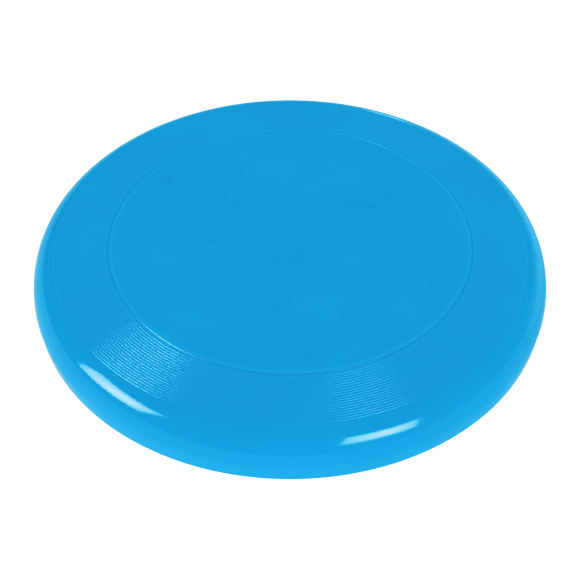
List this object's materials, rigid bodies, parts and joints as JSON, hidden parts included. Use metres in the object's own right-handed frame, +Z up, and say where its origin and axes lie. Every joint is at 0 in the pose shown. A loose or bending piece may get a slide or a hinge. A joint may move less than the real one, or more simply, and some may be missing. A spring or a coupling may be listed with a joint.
{
  "type": "flying disc",
  "caption": "Round moulded throwing disc with a flat flight plate, a band of fine ridges, a rounded shoulder and a deep rim, hollow underneath.",
  "frame": {"origin": "centre of the circle that the rim's foot rests on", "axes": "+Z up through the flight plate, along the axis that the disc is turned round; X and Y are equal, and one leaf of the relief starts on +X"},
  "size_m": [0.25, 0.25, 0.0323],
  "materials": {
    "body": "glossy moulded polyethylene, one colour all through"
  },
  "bodies": {
    "root": {"disc_body": "body"}
  },
  "joints": []
}
